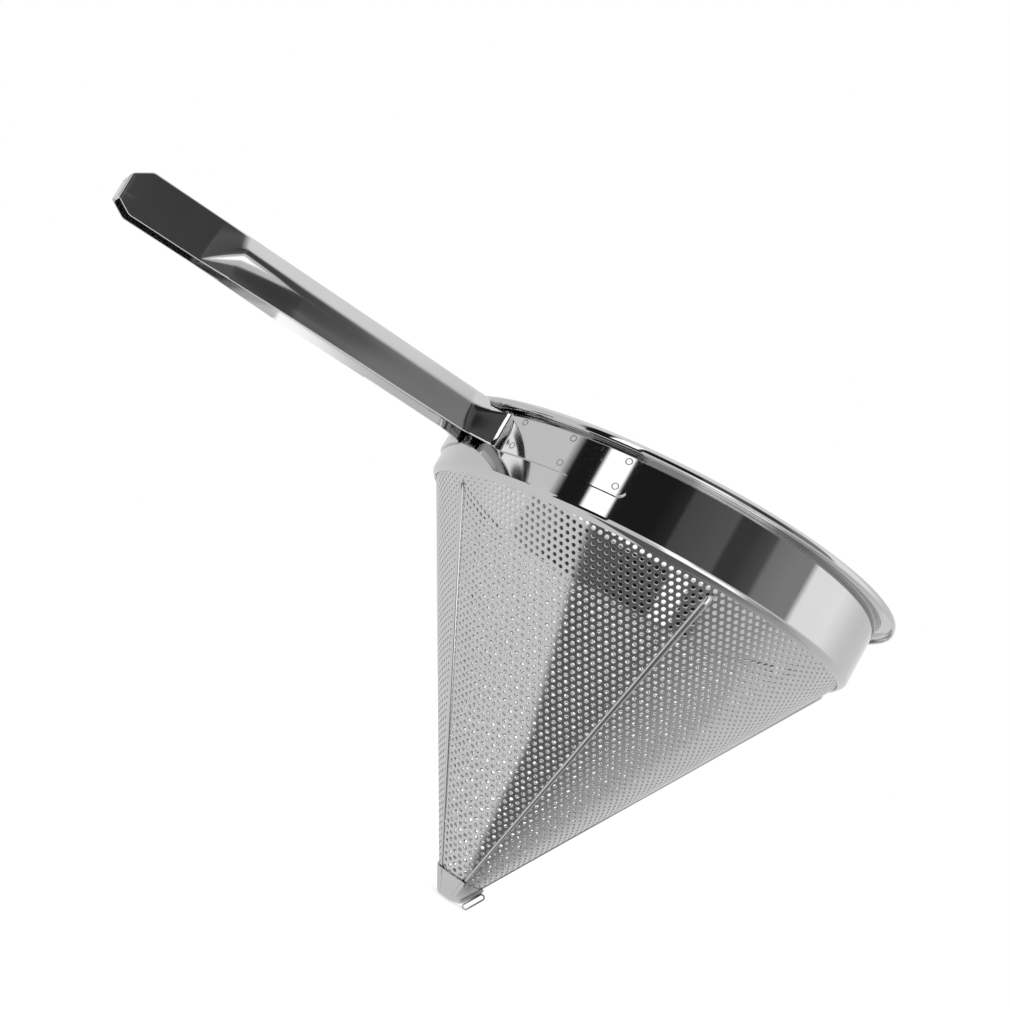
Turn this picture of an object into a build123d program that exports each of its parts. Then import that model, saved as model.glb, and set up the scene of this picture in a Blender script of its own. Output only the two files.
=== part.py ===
from build123d import *
import math
import os

os.makedirs("parts", exist_ok=True)

# Perforated chinois strainer, all stainless sheet. Millimetres, +Z up.
# The origin is the middle of the mouth, level with the top of the rolled lip.
# The handle lies along -X and the pot hook along +X.

# Clearances and cutting allowance
SEAT_GAP = 0.1
CUT_OVERRUN = 6.0

# Rim band, with a lip rolled outwards and a skirt that closes on the cone
BAND_SHEET = 1.0
BAND_RADIUS = 120.0
LIP_WIDTH = 8.0
LIP_DROP = 4.0
LIP_EDGE_BEND = 2.2
LIP_ROOT_BEND = 2.6
SKIRT_DEPTH = 39.0
SKIRT_INSET = 3.6
SKIRT_BEND = 8.0

# Perforated cone, one rolled sheet, with a coarse grid of openings for its fine round holes
CONE_SHEET = 0.8
CONE_HALF_ANGLE = 30.0
CONE_LAP = 2.0
CONE_END_RADIUS = 7.6
OPENING_ROWS = 10
OPENING_SHARE = 0.56

# Stiffening ribs along the cone
RIB_COUNT = 5
RIB_TOP_RADIUS = 1.6
RIB_END_RADIUS = 0.8
RIB_TOP_MARGIN = 2.6
RIB_TURN_ANGLE = -1.0

# Cap over the tip of the cone
CAP_SHEET = 0.8
CAP_MOUTH_RADIUS = 12.6
CAP_DEPTH = 13.0
CAP_NOSE_BEND = 3.2
CAP_PLEAT_SHEET = 0.7
CAP_NOSE_PLEAT_RADIUS = 0.9

# Small flattened loop on the side of the cap
LOOP_SHEET = 0.8
LOOP_LENGTH = 13.5
LOOP_HEIGHT = 3.6
LOOP_WIDTH = 2.6

# Handle, one pressed channel that is open below
HANDLE_SHEET = 1.5
HANDLE_LENGTH = 207.0
HANDLE_BEARING_ANGLE = 180.0
HANDLE_TOP = 2.6
HANDLE_RISE_ANGLE = -1.75
HANDLE_HEIGHT = 21.2
PLATE_HALF_WIDTH = 8.0
PLATE_LENGTH = 43.0
PLATE_TOP_CHAMFER = (8.0, 5.5)
PLATE_LOW_CHAMFER = (7.9, 4.6)
FLARE_LENGTH = 15.0
GRIP_TOP_HALF_WIDTH = 8.3
GRIP_RIDGE_HALF_WIDTH = 11.2
GRIP_HALF_WIDTH = 12.7
GRIP_NECK_RIDGE_DEPTH = 7.4
GRIP_RIDGE_DEPTH = 8.6
GRIP_SWELL_LENGTH = 15.0
ROOT_HALF_WIDTH = 19.8
ROOT_LENGTH = 17.0
ROOT_FOOT_LENGTH = 9.0
LIP_SLOT_GAP = 0.5

# Wings of the handle, wrapped round the band and spot welded
WING_ANGLE = 44.6
WING_TOP = 4.2
WING_HEIGHT = 20.7
WING_CORNER = 4.0
WING_WELD_ANGLES = (14.6, 28.5, 42.0)
WING_WELD_INSET = 4.0

# Pot hook opposite the handle, bent from strip
HOOK_SHEET = 2.0
HOOK_WIDTH = 22.0
HOOK_TOP = 6.5
HOOK_PLATE_HEIGHT = 20.0
HOOK_LENGTH = 38.0
HOOK_DROP = 19.0
HOOK_LEAN_ANGLE = 6.0
HOOK_BEND = 4.0
HOOK_CORNER = 3.0
HOOK_WELD_GAP = 12.0
HOOK_WELD_INSET = 5.0

# Spot welds stand out a little from the sheet
WELD_RADIUS = 1.7
WELD_HEIGHT = 0.25

CONE_MOUTH_RADIUS = BAND_RADIUS - SKIRT_INSET
LIP_RADIUS = BAND_RADIUS + LIP_WIDTH
HANDLE_REACH = BAND_RADIUS + HANDLE_LENGTH
HOOK_REACH = BAND_RADIUS + HOOK_LENGTH
tan_cone = math.tan(math.radians(CONE_HALF_ANGLE))
cos_cone = math.cos(math.radians(CONE_HALF_ANGLE))


def cone_radius(z, offset=0.0):
    """Radius at height z of the cone's outer face, moved outwards by offset."""
    return CONE_MOUTH_RADIUS + (z + SKIRT_DEPTH) * tan_cone + offset / cos_cone


def cone_height(radius, offset=0.0):
    """Height at which the cone's outer face, moved outwards by offset, has a radius."""
    return (radius - CONE_MOUTH_RADIUS - offset / cos_cone) / tan_cone - SKIRT_DEPTH


def revolved(points):
    """Solid turned about Z from a closed outline of (radius, height) points."""
    outline = Plane.XZ * make_face(Polyline(*points, close=True))
    return revolve(outline, axis=Axis.Z)


def turned(shape, degrees):
    """Shape turned about Z."""
    return Rot(0, 0, degrees) * shape


CAP_TOP = cone_height(CAP_MOUTH_RADIUS)
CONE_END = cone_height(CONE_END_RADIUS)
CAP_NOSE = CAP_TOP - CAP_DEPTH
RIM_WALL_MID = BAND_RADIUS - BAND_SHEET / 2
SEAT_RADIUS = BAND_RADIUS + SEAT_GAP
RIB_START = HANDLE_BEARING_ANGLE + RIB_TURN_ANGLE
RIB_ANGLES = [RIB_START + 360 / RIB_COUNT * i for i in range(RIB_COUNT)]


def rim_band():
    """Lip, wall and skirt of one ring, as a sheet turned about Z."""
    half = BAND_SHEET / 2
    skirt = SEAT_GAP + half
    corner = cone_height(RIM_WALL_MID, skirt)
    end = (cone_radius(-SKIRT_DEPTH, skirt), -SKIRT_DEPTH)
    line = FilletPolyline(
        (LIP_RADIUS - half, -LIP_DROP),
        (LIP_RADIUS - half, -half),
        (RIM_WALL_MID, -half),
        (RIM_WALL_MID, corner),
        end,
        radius=(LIP_EDGE_BEND, LIP_ROOT_BEND, SKIRT_BEND),
    )
    return revolve(Plane.XZ * trace(line, line_width=BAND_SHEET), axis=Axis.Z)


def cone_openings():
    """Cutters for rows of nearly square openings between the ribs, from skirt to cap."""
    step = (-SKIRT_DEPTH - CAP_TOP) / OPENING_ROWS
    height = step * OPENING_SHARE
    cutters = []
    for row in range(OPENING_ROWS):
        z = CAP_TOP + (row + 0.5) * step
        radius = cone_radius(z)
        rib_turn = math.degrees(2 * RIB_TOP_RADIUS / radius)
        panel_turn = 360 / RIB_COUNT - rib_turn
        count = max(1, round(math.radians(panel_turn) * radius * cos_cone / step))
        turn = panel_turn / count
        outline = Pos(radius, z) * Rectangle(2 * height, height)
        cutter = revolve(Plane.XZ * outline, axis=Axis.Z, revolution_arc=turn * OPENING_SHARE)
        margin = rib_turn / 2 + turn * (1 - OPENING_SHARE) / 2
        for rib in RIB_ANGLES:
            cutters += [turned(cutter, rib + margin + turn * i) for i in range(count)]
    return cutters


def perforated_cone():
    """Cone sheet from its lap inside the skirt down to its end inside the cap."""
    top = -SKIRT_DEPTH + CONE_LAP
    sheet = revolved([
        (cone_radius(top), top),
        (cone_radius(CONE_END), CONE_END),
        (cone_radius(CONE_END, -CONE_SHEET), CONE_END),
        (cone_radius(top, -CONE_SHEET), top),
    ])
    return sheet - cone_openings()


def solid_cone(offset, top, end):
    """Full cone inside the cone's outer face moved outwards by offset."""
    return revolved([
        (0, top),
        (cone_radius(top, offset), top),
        (cone_radius(end, offset), end),
        (0, end),
    ])


def generator_point(z, offset=0.0):
    """Point on the cone's outer face at height z, in the XZ plane."""
    return Vector(cone_radius(z, offset), 0, z)


def tapered_rod(start, start_radius, end, end_radius):
    """Rod between two points, with round ends."""
    run = end - start
    place = Plane(origin=start, z_dir=run)
    rod = place * Cone(
        start_radius, end_radius, run.length, align=(Align.CENTER, Align.CENTER, Align.MIN)
    )
    rod += Pos(*start) * Sphere(start_radius)
    return rod + Pos(*end) * Sphere(end_radius)


def cone_rib():
    """Half round rib that lies on the cone, from under the skirt to the cap."""
    top = -SKIRT_DEPTH - RIB_TOP_MARGIN
    rod = tapered_rod(
        generator_point(top - RIB_TOP_RADIUS), RIB_TOP_RADIUS,
        generator_point(CAP_TOP), RIB_END_RADIUS,
    )
    rod -= solid_cone(SEAT_GAP, -SKIRT_DEPTH, CAP_NOSE)
    foot = CAP_TOP + SEAT_GAP
    above = Pos(0, 0, foot) * Cylinder(
        BAND_RADIUS, -foot, align=(Align.CENTER, Align.CENTER, Align.MIN)
    )
    return rod & above


def cap_body(offset, nose, bend):
    """Filled cap with a rounded nose, its side moved outwards from the cone by offset."""
    side = [
        (0, CAP_TOP),
        (cone_radius(CAP_TOP, offset), CAP_TOP),
        (cone_radius(nose, offset), nose),
        (0, nose),
    ]
    outline = make_face(Polyline(*side, close=True))
    corner = outline.vertices().sort_by(Axis.Y)[:2].sort_by(Axis.X)[-1]
    return revolve(Plane.XZ * fillet(corner, bend), axis=Axis.Z)


def tip_cap():
    """Cap pressed over the end of the cone, with a pleat over each rib."""
    outside = SEAT_GAP + CAP_SHEET
    body = cap_body(outside, CAP_NOSE, CAP_NOSE_BEND)
    pleat = tapered_rod(
        generator_point(CAP_TOP, SEAT_GAP), RIB_END_RADIUS + CAP_PLEAT_SHEET,
        generator_point(CAP_NOSE + CAP_NOSE_BEND, SEAT_GAP), CAP_NOSE_PLEAT_RADIUS,
    )
    for angle in RIB_ANGLES:
        body += turned(pleat, angle)
    below = Pos(0, 0, CAP_TOP) * Cylinder(
        BAND_RADIUS, CAP_DEPTH + CUT_OVERRUN, align=(Align.CENTER, Align.CENTER, Align.MAX)
    )
    body = body & below
    return body - cap_body(SEAT_GAP, CAP_NOSE + CAP_SHEET, CAP_NOSE_BEND - CAP_SHEET)


def tip_loop():
    """Flattened loop of thin strip that stands on one pleat of the cap."""
    mouth = generator_point(CAP_TOP, SEAT_GAP + CAP_SHEET)
    along = generator_point(CAP_NOSE, SEAT_GAP + CAP_SHEET) - mouth
    plane = Plane(origin=mouth, x_dir=along, z_dir=Vector(0, -1, 0))
    seat = RIB_END_RADIUS + CAP_PLEAT_SHEET - CAP_SHEET + SEAT_GAP
    outside = SlotOverall(LOOP_LENGTH, LOOP_HEIGHT)
    inside = SlotOverall(LOOP_LENGTH - 2 * LOOP_SHEET, LOOP_HEIGHT - 2 * LOOP_SHEET)
    ring = Pos(LOOP_LENGTH / 2, seat + LOOP_HEIGHT / 2) * (outside - inside)
    return extrude(plane * ring, LOOP_WIDTH / 2, both=True)


def mitred(points, inset):
    """Open outline of (width, height) points, moved inwards by inset at mitred corners."""
    normals = []
    for (y0, z0), (y1, z1) in zip(points, points[1:]):
        length = math.hypot(y1 - y0, z1 - z0)
        normals.append(((z1 - z0) / length, -(y1 - y0) / length))
    moved = []
    for i, (y, z) in enumerate(points):
        first = normals[max(i - 1, 0)]
        second = normals[min(i, len(normals) - 1)]
        share = inset / (1 + first[0] * second[0] + first[1] * second[1])
        moved.append((y + share * (first[0] + second[0]), z + share * (first[1] + second[1])))
    return moved


def channel_face(distance, top_half, ridge_half, ridge_depth, base_half, inset=0.0):
    """Cross-section of the channel at a distance from the band's axis."""
    half = [(0, 0), (top_half, 0), (ridge_half, -ridge_depth), (base_half, -HANDLE_HEIGHT)]
    if inset:
        half = mitred(half, inset)
        half[-1] = (half[-1][0], -HANDLE_HEIGHT - CUT_OVERRUN)
    right = half[1:]
    left = [(-y, z) for y, z in reversed(right)]
    points = [Vector(-distance, y, z) for y, z in right + left]
    return make_face(Polyline(*points, close=True))


def handle_plate(inset=0.0):
    """Flat-sided end of the handle, chamfered above and below."""
    run, drop = PLATE_TOP_CHAMFER
    low_run, low_drop = PLATE_LOW_CHAMFER
    start = HANDLE_REACH - PLATE_LENGTH
    top = [
        (-start, -inset),
        (-(HANDLE_REACH - run - inset / 2), -inset),
        (-(HANDLE_REACH - inset), -drop - inset / 2),
    ]
    if inset:
        open_depth = -HANDLE_HEIGHT - CUT_OVERRUN
        low = [(-(HANDLE_REACH - inset), open_depth), (-start, open_depth)]
    else:
        low = [
            (-HANDLE_REACH, low_drop - HANDLE_HEIGHT),
            (-(HANDLE_REACH - low_run), -HANDLE_HEIGHT),
            (-start, -HANDLE_HEIGHT),
        ]
    outline = Plane.XZ * make_face(Polyline(*top, *low, close=True))
    return extrude(outline, PLATE_HALF_WIDTH - inset, both=True)


def handle_stations():
    """Sizes of the channel's cross-section from the end plate to the band."""
    plate_end = HANDLE_REACH - PLATE_LENGTH
    neck = plate_end - FLARE_LENGTH
    swell = neck - GRIP_SWELL_LENGTH
    root = BAND_RADIUS + ROOT_LENGTH
    foot = BAND_RADIUS + ROOT_FOOT_LENGTH
    fold = math.sqrt(SEAT_RADIUS ** 2 - ROOT_HALF_WIDTH ** 2)
    fold_depth = WING_TOP - HANDLE_TOP
    share = (root - foot) / (root - fold)
    foot_ridge = GRIP_RIDGE_HALF_WIDTH + (ROOT_HALF_WIDTH - GRIP_RIDGE_HALF_WIDTH) * share
    foot_depth = GRIP_RIDGE_DEPTH + (fold_depth - GRIP_RIDGE_DEPTH) * share
    web, ridge, base = GRIP_TOP_HALF_WIDTH, GRIP_RIDGE_HALF_WIDTH, GRIP_HALF_WIDTH
    return [
        (plate_end, PLATE_HALF_WIDTH, PLATE_HALF_WIDTH, GRIP_NECK_RIDGE_DEPTH, PLATE_HALF_WIDTH),
        (neck, web, ridge, GRIP_NECK_RIDGE_DEPTH, ridge),
        (swell, web, ridge, GRIP_NECK_RIDGE_DEPTH, base),
        (root, web, ridge, GRIP_RIDGE_DEPTH, base),
        (foot, web, foot_ridge, foot_depth, base),
        (fold, web, ROOT_HALF_WIDTH, fold_depth, ROOT_HALF_WIDTH),
        (fold - CUT_OVERRUN, web, ROOT_HALF_WIDTH, fold_depth, ROOT_HALF_WIDTH),
    ]


def channel(inset=0.0):
    """Channel between the stations, filled."""
    faces = [channel_face(*station, inset) for station in handle_stations()]
    return loft(faces, ruled=True)


def wrapped_strip(sheet, top, height, arc):
    """Strip round the band over an arc from +X, not yet cut to its seat, and its corner edges."""
    outline = Pos(SEAT_RADIUS, -top - height / 2) * Rectangle(2 * sheet, height)
    strip = revolve(Plane.XZ * outline, axis=Axis.Z, revolution_arc=arc)
    corners = [e for e in strip.edges().filter_by(GeomType.LINE) if e.length < height / 2]
    return strip, corners


def wing(side):
    """One wing of the handle's sheet on the band, round at its free corners."""
    start = math.degrees(math.asin((ROOT_HALF_WIDTH - HANDLE_SHEET / 2) / SEAT_RADIUS))
    strip, corners = wrapped_strip(HANDLE_SHEET, WING_TOP, WING_HEIGHT, WING_ANGLE - start)
    free = sorted(corners, key=lambda e: e.center().Y)[-2:]
    placed = turned(fillet(free, WING_CORNER), HANDLE_BEARING_ANGLE + start)
    return placed if side > 0 else mirror(placed, about=Plane.XZ)


def band_space():
    """Cylinder that cuts what is bent round the band to its seat."""
    return Cylinder(SEAT_RADIUS, 2 * SKIRT_DEPTH)


def lip_space():
    """Ring that cuts the slot in the handle's top for the lip's edge."""
    low = -LIP_DROP - LIP_SLOT_GAP
    inside = LIP_RADIUS - BAND_SHEET - LIP_SLOT_GAP
    outside = LIP_RADIUS + LIP_SLOT_GAP
    return revolved([(inside, 0), (outside, 0), (outside, low), (inside, low)])


def raised(shape):
    """Handle shape at its height, turned up by its rise about the band's face."""
    pivot = Pos(-BAND_RADIUS, 0, -HANDLE_TOP)
    return pivot * Rot(0, HANDLE_RISE_ANGLE, 0) * Pos(BAND_RADIUS, 0, 0) * shape


def handle():
    """Channel, end plate and wings, pressed from one sheet."""
    body = raised(channel() + handle_plate())
    body -= raised(channel(HANDLE_SHEET))
    body -= raised(handle_plate(HANDLE_SHEET))
    body += [wing(1), wing(-1)]
    return body - band_space() - lip_space()


def rest_hook():
    """Plate on the band, arm that reaches out and leg that hangs down outside a pot."""
    half = HOOK_SHEET / 2
    lean = math.tan(math.radians(HOOK_LEAN_ANGLE))
    bend_end = -HOOK_TOP - half - HOOK_BEND
    line = FilletPolyline(
        (SEAT_RADIUS + half, bend_end - HOOK_SHEET),
        (SEAT_RADIUS + half, -HOOK_TOP - half),
        (HOOK_REACH - half - (HOOK_DROP - half) * lean, -HOOK_TOP - half),
        (HOOK_REACH - half, -HOOK_TOP - HOOK_DROP),
        radius=HOOK_BEND,
    )
    arm = extrude(Plane.XZ * trace(line, line_width=HOOK_SHEET), HOOK_WIDTH / 2, both=True)
    arc = math.degrees(HOOK_WIDTH / SEAT_RADIUS)
    depth = HOOK_TOP + HOOK_PLATE_HEIGHT + bend_end
    plate, corners = wrapped_strip(HOOK_SHEET, -bend_end, depth, arc)
    low = sorted(corners, key=lambda e: e.center().Z)[:2]
    return arm + turned(fillet(low, HOOK_CORNER), -arc / 2) - band_space()


def spot_welds(places, seat):
    """Low round spot welds on a round face, at (angle, height) places."""
    button = Rot(0, 90, 0) * Cylinder(
        WELD_RADIUS, WELD_HEIGHT, align=(Align.CENTER, Align.CENTER, Align.MIN)
    )
    return Compound(children=[turned(Pos(seat, 0, z) * button, angle) for angle, z in places])


def handle_spot_welds():
    """Two rows of welds on each wing."""
    rows = [-WING_TOP - WING_WELD_INSET, -WING_TOP - WING_HEIGHT + WING_WELD_INSET]
    bearings = [HANDLE_BEARING_ANGLE + side * arc for side in (-1, 1) for arc in WING_WELD_ANGLES]
    places = [(bearing, z) for bearing in bearings for z in rows]
    return spot_welds(places, SEAT_RADIUS + HANDLE_SHEET)


def hook_spot_welds():
    """Two welds on the hook's plate."""
    turn = math.degrees(HOOK_WELD_GAP / 2 / SEAT_RADIUS)
    z = -HOOK_TOP - HOOK_PLATE_HEIGHT + HOOK_WELD_INSET
    return spot_welds([(-turn, z), (turn, z)], SEAT_RADIUS + HOOK_SHEET)


nodes = {
    "rim_band": rim_band(),
    "perforated_cone": perforated_cone(),
    "tip_cap": tip_cap(),
    "tip_loop": turned(tip_loop(), RIB_ANGLES[2]),
    "handle": handle(),
    "handle_spot_welds": handle_spot_welds(),
    "rest_hook": rest_hook(),
    "hook_spot_welds": hook_spot_welds(),
}
for i, angle in enumerate(RIB_ANGLES):
    nodes[f"cone_rib_{i + 1}"] = turned(cone_rib(), angle)

for name, shape in nodes.items():
    export_step(shape, f"parts/{name}.step")
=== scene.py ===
import logging
import math
from dataclasses import dataclass, field
from enum import Enum
from typing import Any, Callable, Sequence

import bmesh
import bpy
import numpy as np
from mathutils import Matrix, Vector


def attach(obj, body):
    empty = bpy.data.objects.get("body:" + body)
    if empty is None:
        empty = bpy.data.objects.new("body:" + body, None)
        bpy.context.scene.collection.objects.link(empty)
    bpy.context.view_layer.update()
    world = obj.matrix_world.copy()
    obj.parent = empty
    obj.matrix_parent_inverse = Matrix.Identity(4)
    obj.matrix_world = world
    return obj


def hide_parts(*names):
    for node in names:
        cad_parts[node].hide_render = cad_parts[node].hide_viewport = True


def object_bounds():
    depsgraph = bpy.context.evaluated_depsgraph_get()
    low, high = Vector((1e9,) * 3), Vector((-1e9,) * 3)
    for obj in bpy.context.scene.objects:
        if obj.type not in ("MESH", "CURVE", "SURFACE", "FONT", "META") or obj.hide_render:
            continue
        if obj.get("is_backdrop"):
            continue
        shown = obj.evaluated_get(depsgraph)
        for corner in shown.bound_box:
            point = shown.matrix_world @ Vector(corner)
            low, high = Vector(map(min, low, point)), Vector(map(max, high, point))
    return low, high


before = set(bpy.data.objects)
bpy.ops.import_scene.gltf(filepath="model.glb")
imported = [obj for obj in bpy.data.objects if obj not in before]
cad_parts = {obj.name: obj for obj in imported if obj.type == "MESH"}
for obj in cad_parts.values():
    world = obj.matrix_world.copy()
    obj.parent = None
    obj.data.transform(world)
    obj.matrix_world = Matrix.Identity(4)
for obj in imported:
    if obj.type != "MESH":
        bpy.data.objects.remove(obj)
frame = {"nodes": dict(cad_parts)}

logging.basicConfig(level=logging.INFO, format="%(name)s: %(message)s")
log = logging.getLogger("strainer")

MM = 0.001
BODY = "root"

Point = tuple[float, float]


# Node graphs


class Field:
    """A node socket that Python's arithmetic works on."""

    def __init__(self, graph: "Graph", socket: bpy.types.NodeSocket) -> None:
        """Keep the socket and the graph that it belongs to."""
        self.graph = graph
        self.socket = socket

    def math(self, operation: str, *others: Any) -> "Field":
        """Result of a Math node on this field and others.

        Args:
            operation: the Math node's operation.
            others: fields or numbers for its other inputs.

        Returns:
            The node's output.
        """
        inputs = dict(enumerate((self, *others)))
        return self.graph.node("ShaderNodeMath", {"operation": operation}, inputs)

    def __add__(self, other: Any) -> "Field":
        """Sum."""
        return self.math("ADD", other)

    def __mul__(self, other: Any) -> "Field":
        """Product."""
        return self.math("MULTIPLY", other)

    def __sub__(self, other: Any) -> "Field":
        """Difference."""
        return self.math("SUBTRACT", other)

    def __truediv__(self, other: Any) -> "Field":
        """Quotient."""
        return self.math("DIVIDE", other)

    def __rsub__(self, other: float) -> "Field":
        """Difference from a number."""
        return self.graph.number(other) - self

    def __mod__(self, other: Any) -> "Field":
        """Remainder, never negative."""
        return self.math("FLOORED_MODULO", other)

    def __gt__(self, other: Any) -> "Field":
        """One where this is the greater, otherwise zero."""
        return self.math("GREATER_THAN", other)

    def __lt__(self, other: Any) -> "Field":
        """One where this is the smaller, otherwise zero."""
        return self.math("LESS_THAN", other)

    __radd__ = __add__
    __rmul__ = __mul__

    def between(self, low: Any, high: Any) -> "Field":
        """This field held between two limits."""
        return self.math("MAXIMUM", low).math("MINIMUM", high)

    def step(self, start: Any, steepness: float) -> "Field":
        """Zero up to start, then a straight rise to one."""
        return ((self - start) * steepness).between(0.0, 1.0)

    def sine(self) -> "Field":
        """Sine."""
        return self.math("SINE")

    def cosine(self) -> "Field":
        """Cosine."""
        return self.math("COSINE")


class Graph:
    """A node tree that is written as expressions."""

    def __init__(self, tree: bpy.types.NodeTree) -> None:
        """Keep the tree."""
        self.tree = tree

    def node(self, kind: str, settings: dict | None = None, inputs: dict | None = None,
             output: int | str = 0) -> Field:
        """Add one node.

        Args:
            kind: the node's type.
            settings: its properties, and a ramp's stops as (place, colour) pairs.
            inputs: values or fields by the socket's name or number.
            output: the output that is wanted.

        Returns:
            That output as a field.
        """
        node = self.tree.nodes.new(kind)
        for name, value in (settings or {}).items():
            if name == "stops":
                self._set_stops(node.color_ramp, value)
            else:
                setattr(node, name, value)
        for key, value in (inputs or {}).items():
            if isinstance(value, Field):
                self.tree.links.new(value.socket, node.inputs[key])
            else:
                node.inputs[key].default_value = value
        return Field(self, node.outputs[output] if node.outputs else node.inputs[0])

    @staticmethod
    def _set_stops(ramp: bpy.types.ColorRamp, stops: Sequence[tuple[float, float]]) -> None:
        """Give a ramp its stops, each a place and a grey level."""
        while len(ramp.elements) < len(stops):
            ramp.elements.new(1.0)
        for element, (place, level) in zip(ramp.elements, stops):
            element.position = place
            element.color = (level, level, level, 1.0)

    def number(self, value: float) -> Field:
        """A constant."""
        constant = self.node("ShaderNodeValue")
        constant.socket.default_value = value
        return constant

    def combine(self, x: Any, y: Any, z: Any) -> Field:
        """Vector of three numbers."""
        return self.node("ShaderNodeCombineXYZ", None, {0: x, 1: y, 2: z})

    def separate(self, vector: Field) -> tuple[Field, Field, Field]:
        """The three numbers of a vector."""
        x = self.node("ShaderNodeSeparateXYZ", None, {0: vector})
        outputs = x.socket.node.outputs
        return x, Field(self, outputs[1]), Field(self, outputs[2])

    def blend(self, share: Any, low: Any, high: Any) -> Field:
        """Colour between two colours."""
        settings = {"data_type": "RGBA"}
        return self.node("ShaderNodeMix", settings, {0: share, 6: low, 7: high}, 2)

    def noise(self, place: Field, scale: float, detail: float, roughness: float) -> Field:
        """Noise texture."""
        return self.node("ShaderNodeTexNoise", None, {
            "Vector": place, "Scale": scale, "Detail": detail, "Roughness": roughness,
        })

    def seen_rays(self) -> Field:
        """One for rays from the camera, off a mirror or through something, otherwise zero."""
        rays = self.node("ShaderNodeLightPath", None, None, "Is Camera Ray")
        outputs = rays.socket.node.outputs
        seen = rays.math("MAXIMUM", Field(self, outputs["Is Glossy Ray"]))
        return seen.math("MAXIMUM", Field(self, outputs["Is Transmission Ray"]))


def blank_material(name: str) -> tuple[bpy.types.Material, Graph]:
    """New material with an empty node tree, and the graph of that tree."""
    made = bpy.data.materials.new(name)
    made.use_nodes = True
    made.node_tree.nodes.clear()
    return made, Graph(made.node_tree)


# Finishes


class Grain(Enum):
    """Which way the fine lines of a metal surface run."""

    AROUND = "around the strainer's axis"
    ALONG = "along the handle"
    DOWN = "down the cone"
    NONE = "no lines"


@dataclass(frozen=True)
class Steel:
    """Stainless steel with grain, waves, scratches and finger marks.

    Attributes:
        name: the material's name.
        tone: how much it reflects.
        roughness: its mean roughness.
        grain: which way its fine lines run.
        grain_depth: how deep the lines are, in metres.
        wave_depth: how deep its slow waves are, in metres.
        wave_length: how long the waves are, in metres.
        scratches: how strong the stray scratches are, from 0 to 1.
        smudges: how much marks change the roughness.
        wear: how much rougher it is out along the handle, past wear_start.
        wear_start: distance from the axis at which the wear begins, in metres.
    """

    name: str
    tone: float
    roughness: float
    grain: Grain = Grain.NONE
    grain_depth: float = 0.0
    wave_depth: float = 0.0
    wave_length: float = 0.03
    scratches: float = 0.0
    smudges: float = 0.02
    wear: float = 0.0
    wear_start: float = 0.135

    def material(self) -> bpy.types.Material:
        """Build the material, or give the one that was built.

        Returns:
            The material.
        """
        known = bpy.data.materials.get(self.name)
        if known:
            return known
        made, graph = blank_material(self.name)
        self._wire(graph)
        return made

    def _stretched(self, graph: Graph, place: Field) -> Field:
        """Coordinates squeezed along the grain, in metres across it."""
        x, y, z = graph.separate(place)
        if self.grain is Grain.AROUND:
            angle = y.math("ARCTAN2", x)
            return graph.combine(angle * 0.004, z, 0.0)
        if self.grain is Grain.DOWN:
            angle = y.math("ARCTAN2", x)
            return graph.combine(angle * 0.06, z * 0.02, 0.0)
        return graph.combine(x * 0.015, y, z)

    def _wire(self, graph: Graph) -> None:
        """Join the nodes of the finish."""
        place = graph.node("ShaderNodeTexCoord", None, None, "Object")
        lines = graph.noise(self._stretched(graph, place), 2600.0, 2.0, 0.65)
        marks = graph.noise(place, 42.0, 5.0, 0.6)
        waves = graph.noise(place, 1.0 / self.wave_length, 0.6, 0.3)
        streaks = graph.noise(graph.node("ShaderNodeMapping", None, {
            "Vector": place, "Rotation": (0.4, 0.9, 0.3), "Scale": (26.0, 900.0, 240.0),
        }), 1.0, 2.0, 0.5)
        stops = {"stops": ((0.66, 0.0), (0.72, 1.0))}
        scratch = graph.node("ShaderNodeValToRGB", stops, {0: streaks}) * self.scratches
        patches = (marks - 0.45) * self.smudges * 2.0
        x, _, _ = graph.separate(place)
        worn = (x * -1.0).step(self.wear_start, 60.0) * self.wear
        roughness = self.roughness + patches + (lines - 0.5) * self.smudges
        roughness = roughness + scratch * 0.12 + worn
        height = lines * self.grain_depth + waves * self.wave_depth - scratch * 2e-6
        bump = graph.node("ShaderNodeBump", None, {
            "Strength": 1.0, "Distance": 1.0, "Height": height,
        })
        low, high = (self.tone * 0.94,) * 3, (self.tone * 1.04,) * 3
        colour = graph.blend(marks, (*low, 1.0), (high[0], high[1], high[2] * 0.995, 1.0))
        shader = graph.node("ShaderNodeBsdfPrincipled", None, {
            "Base Color": colour, "Metallic": 1.0,
            "Roughness": roughness.between(0.02, 0.9), "Normal": bump,
        })
        graph.node("ShaderNodeOutputMaterial", None, {"Surface": shader})


POLISHED_BAND = Steel("polished_band", 0.66, 0.045, Grain.AROUND, 6.0e-8, 1.2e-5, 0.05, 0.2, 0.015)
PRESSED_CAP = Steel("pressed_cap", 0.64, 0.16, Grain.NONE, 0.0, 1.0e-5, 0.006, 0.4, 0.04)
BRIGHT_SHEET = Steel("bright_sheet", 0.68, 0.12, Grain.DOWN, 1.0e-7, 1.0e-5, 0.04, 0.1, 0.02)
RIB_STEEL = Steel("rib_steel", 0.66, 0.16, Grain.NONE, 0.0, 1.0e-6, 0.02, 0.2, 0.03)
SATIN_HANDLE = Steel("satin_handle", 0.66, 0.05, Grain.ALONG, 1.5e-7, 1.0e-5, 0.05, 0.5, 0.02, 0.08)
SATIN_HOOK = Steel("satin_hook", 0.5, 0.28, Grain.ALONG, 1.0e-6, 4.0e-6, 0.02, 0.6, 0.05)
WELD_STEEL = Steel("weld_steel", 0.64, 0.1, Grain.NONE, 0.0, 1.0e-6, 0.01, 0.2, 0.03)


# Meshes


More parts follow.
